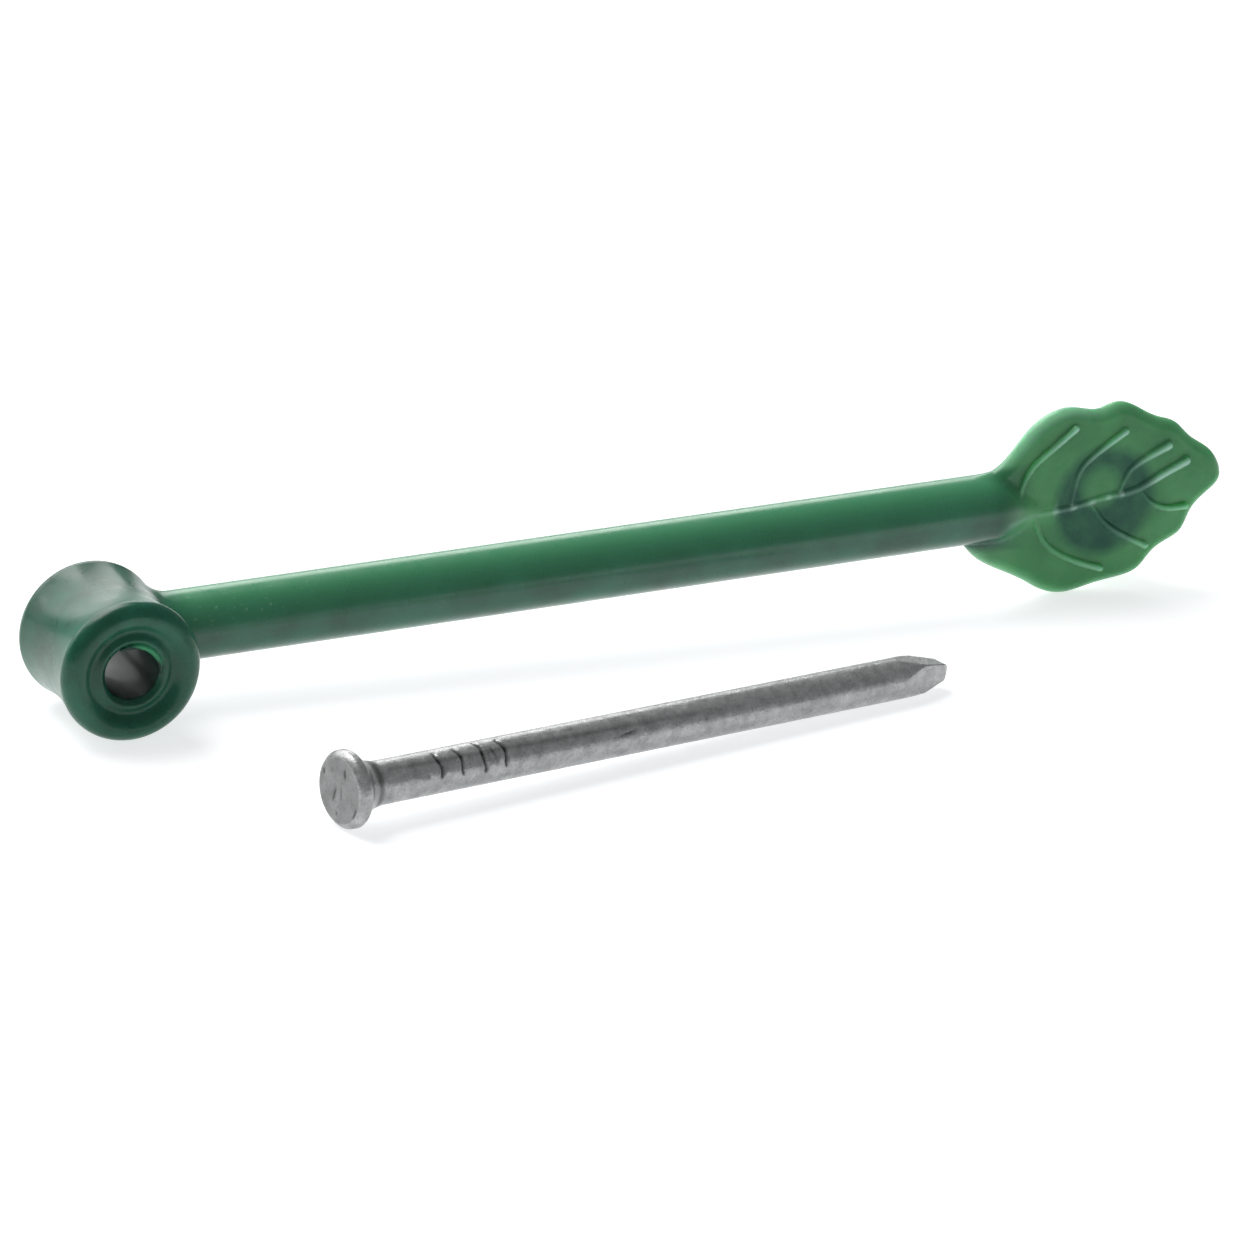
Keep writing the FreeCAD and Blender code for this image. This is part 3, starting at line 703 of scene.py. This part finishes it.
def nail_radius(x, turn):
    """The nail's radius in millimetres and how much it is darkened, at a place along it and a turn about it:
    in its grip marks and nick, in two rings under the head, and along a faint painted dark reflection on the
    shank.
    """
    radius = np.interp(x, *zip(*PROFILE))
    shoulder = NAIL_LENGTH - POINT_LENGTH
    flat = NAIL_RADIUS + (TIP_HALF - NAIL_RADIUS) * np.clip((x - shoulder) / POINT_LENGTH, 0, 1)
    corner = np.maximum(np.abs(np.cos(turn)), np.abs(np.sin(turn)))
    radius = np.where(x > shoulder, np.minimum(radius, flat / corner), radius)
    facing = (turn - MARKS_FACE + math.pi) % (2 * math.pi) - math.pi
    # A painted dark reflection: a faint dark line along the shank.
    dirt_and_shade = 0.38 * np.exp(-((facing + 0.55 - 0.012 * x) / 0.13) ** 2)
    dirt_and_shade = dirt_and_shade * (1 - ramp(x, 16.0, 30.0)) * ramp(x, 2.0, 4.0)
    # Darker in two rings, one on the head's underside and one at its neck.
    dirt_and_shade = dirt_and_shade + 0.7 * np.exp(-((x - 1.85) / 0.24) ** 2) + 0.5 * np.exp(-((x - 1.0) / 0.13) ** 2)
    for k, (mark, high, depth) in enumerate(GRIP_MARKS):
        lean = facing + 0.28
        bow = mark + 0.20 * np.cos(facing * 1.3) - 0.1 + 0.05 * np.sin(6 * facing + 2 * k)
        reach = 1 - ramp(np.abs(lean), high - 0.15, high + 0.2)
        groove = depth * np.exp(-((x - bow) / 0.095) ** 2) * reach
        swell = np.exp(-((x - bow - 0.22) / 0.16) ** 2) * reach
        radius = radius - 0.13 * groove + 0.04 * swell
        dirt_and_shade = dirt_and_shade + 0.9 * groove
    nick = np.exp(-((x - NICK_AT) / 0.5) ** 2) * np.exp(-((facing + 0.14 * (x - NICK_AT)) / 0.07) ** 2)
    return radius - 0.06 * nick, np.clip(dirt_and_shade + 0.8 * nick, 0, 1)


# Dark scratches in the head's face: two for the place, then half length, lean and strength.
SCRATCHES = ((1.45, 0.60, 0.14, 0.1, 0.7), (-0.42, 1.05, 0.26, 0.15, 0.8), (0.42, -0.35, 0.42, -0.25, 0.45),
             (-0.20, -0.10, 0.30, 0.1, 0.4), (-1.50, -0.85, 0.35, -0.35, 0.6), (0.10, -1.30, 0.12, 0.6, 0.5),
             (0.75, 0.95, 0.18, -0.5, 0.25))


FACE_SOIL = 0.42
TIP_ROUNDING = 0.4


def build_nail():
    """The nail's skin: rings along its shank and across the head's face, closed at the point."""
    around = 112
    shoulder = NAIL_LENGTH - POINT_LENGTH
    stations = np.concatenate([
        np.linspace(0, HEAD_THICK + NECK, 26), np.linspace(2.4, 5.0, 10), np.arange(5.05, 12.0, 0.05),
        np.linspace(12.2, NICK_AT, 16), np.arange(18.3, 19.9, 0.06), np.linspace(20.2, shoulder - 0.1, 30),
        np.linspace(shoulder, NAIL_LENGTH - 0.45, 22),
        NAIL_LENGTH - TIP_ROUNDING * np.linspace(1, 0, 8) ** 2])
    turn = np.linspace(0, 2 * math.pi, around, endpoint=False)
    x, t = np.meshgrid(stations, turn, indexing="ij")
    r, dirt_and_shade = nail_radius(x, t)
    end = np.clip((NAIL_LENGTH - x) / TIP_ROUNDING, 0.10, 1)
    r = r * np.sqrt(1 - 0.75 * (1 - end) ** 2)
    local = [np.stack([x, r * np.cos(t), r * np.sin(t)], 2).reshape(-1, 3)]
    dirt_and_shade = [dirt_and_shade.ravel()]
    rows = len(stations)
    faces = []
    for i in range(rows - 1):
        for j in range(around):
            k = (j + 1) % around
            faces.append((i * around + j, (i + 1) * around + j, (i + 1) * around + k, i * around + k))
    # the head's face, with a few shallow dents
    count = rows * around
    rim = r[0]
    previous = list(range(around))
    for share in np.arange(0.965, 0.03, -0.035):
        y, z = share * rim * np.cos(turn), share * rim * np.sin(turn)
        dent = 0.04 * np.exp(-(((y - 0.3) / 0.2) ** 2 + ((z + 0.2 + y * 0.3) / 0.8) ** 2))
        soil = np.full(around, FACE_SOIL)
        for place_y, place_z, length, lean, strength in SCRATCHES:
            along = (z - place_z) * math.cos(lean) + (y - place_y) * math.sin(lean)
            across = (y - place_y) * math.cos(lean) - (z - place_z) * math.sin(lean)
            soil += strength * np.exp(-(across / 0.07) ** 2 - (along / length) ** 4)
        ring = np.stack([dent + 0.03 * (soil - FACE_SOIL), y, z], 1)
        local.append(ring)
        dirt_and_shade.append(np.clip(soil, 0, 0.95))
        current = list(range(count, count + around))
        count += around
        for j in range(around):
            k = (j + 1) % around
            faces.append((previous[j], previous[k], current[k], current[j]))
        previous = current
    faces.append(tuple(previous))
    faces.append(tuple(reversed(range((rows - 1) * around, rows * around))))
    local = np.concatenate(local)
    basis = np.array([NAIL_AXIS, NAIL_SIDE, NAIL_UP])
    points = np.array(NAIL_START) + local @ basis * MM
    piece = new_piece("nail_skin", points, faces, zinc("zinc"))
    place = piece.data.attributes.new("local", "FLOAT_VECTOR", "POINT")
    place.data.foreach_set("vector", local.astype(np.float32).ravel())
    dirt_and_shade_layer = piece.data.attributes.new("dirt_and_shade", "FLOAT", "POINT")
    dirt_and_shade_layer.data.foreach_set("value", np.concatenate(dirt_and_shade).astype(np.float32))
    return piece


nail = build_nail()
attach(nail, "nail")
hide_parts("nail")


# ---------------------------------------------------------------- floor, light and camera

FLOOR = -COLLAR_RADIUS * MM
FLOOR_HALF = 2.0
FLOOR_DARK, FLOOR_PALE = (0.50, 0.505, 0.51, 1), (0.54, 0.545, 0.55, 1)


def add_floor():
    """The pale floor that the tie and the nail lie on, with a faint cloud and a little light of its own."""
    n = Nodes("pale_floor")
    texture = n.node("ShaderNodeTexCoord")
    cloud = n.noise((texture, "Object"), 40.0, 3.0)
    n.feed(n.shader, "Base Color", n.mix(n.span(cloud, 0.3, 0.7), FLOOR_DARK, FLOOR_PALE))
    n.shader.inputs["Roughness"].default_value = 0.85
    n.shader.inputs["Specular IOR Level"].default_value = 0.2
    n.shader.inputs["Emission Color"].default_value = (0.98, 0.99, 1.0, 1)
    n.shader.inputs["Emission Strength"].default_value = 0.72
    mesh = bpy.data.meshes.new("floor")
    corners = ((-1, -1), (1, -1), (1, 1), (-1, 1))
    mesh.from_pydata([(x * FLOOR_HALF, y * FLOOR_HALF, FLOOR) for x, y in corners], [], [(0, 1, 2, 3)])
    mesh.materials.append(n.material)
    floor = bpy.data.objects.new("floor", mesh)
    bpy.context.scene.collection.objects.link(floor)


def add_light(name, place, target, size, power, colour=(1, 1, 1)):
    data = bpy.data.lights.new(name, "AREA")
    data.shape = "RECTANGLE"
    data.size, data.size_y = size
    data.energy = power
    data.color = colour
    lamp = bpy.data.objects.new(name, data)
    lamp.location = place
    lamp.rotation_mode = "QUATERNION"
    lamp.rotation_quaternion = (Vector(target) - Vector(place)).to_track_quat("-Z", "Y")
    bpy.context.scene.collection.objects.link(lamp)


add_floor()
CENTRE = (0.035, -0.004, 0.0)
add_light("overhead", (-0.10, 0.26, 0.50), CENTRE, (0.45, 0.35), 3.2, (1.0, 1.0, 0.98))
add_light("rear", (-0.02, 0.56, 0.29), CENTRE, (0.9, 0.30), 2.6)
add_light("rear_left", (-0.42, 0.40, 0.16), CENTRE, (0.20, 0.25), 0.25, (0.97, 0.99, 1.0))

world = bpy.data.worlds.new("studio")
bpy.context.scene.world = world
world.use_nodes = True
world.node_tree.nodes["Background"].inputs["Color"].default_value = (0.95, 0.975, 1.0, 1)
world.node_tree.nodes["Background"].inputs["Strength"].default_value = 0.20
bpy.context.scene.view_settings.view_transform = "Standard"


def add_camera():
    """The photograph's viewpoint: turned about the object, lifted, rolled a little and shifted sideways."""
    turn, lift, roll = math.radians(-26.928), math.radians(21.004), math.radians(3.719)
    back = Vector((math.sin(turn) * math.cos(lift), -math.cos(turn) * math.cos(lift), math.sin(lift)))
    right = Vector((0, 0, 1)).cross(back).normalized()
    up = back.cross(right)
    right, up = right * math.cos(roll) + up * math.sin(roll), up * math.cos(roll) - right * math.sin(roll)
    data = bpy.data.cameras.new("camera")
    data.sensor_width = 36.0
    data.lens = 175.04
    data.clip_start, data.clip_end = 0.01, 10.0
    camera = bpy.data.objects.new("camera", data)
    place = (right * 28.426 + up * 1.114 + back * 327.54) * MM
    camera.matrix_world = Matrix.Translation(place) @ Matrix((right, up, back)).transposed().to_4x4()
    bpy.context.scene.collection.objects.link(camera)
    bpy.context.scene.camera = camera


add_camera()
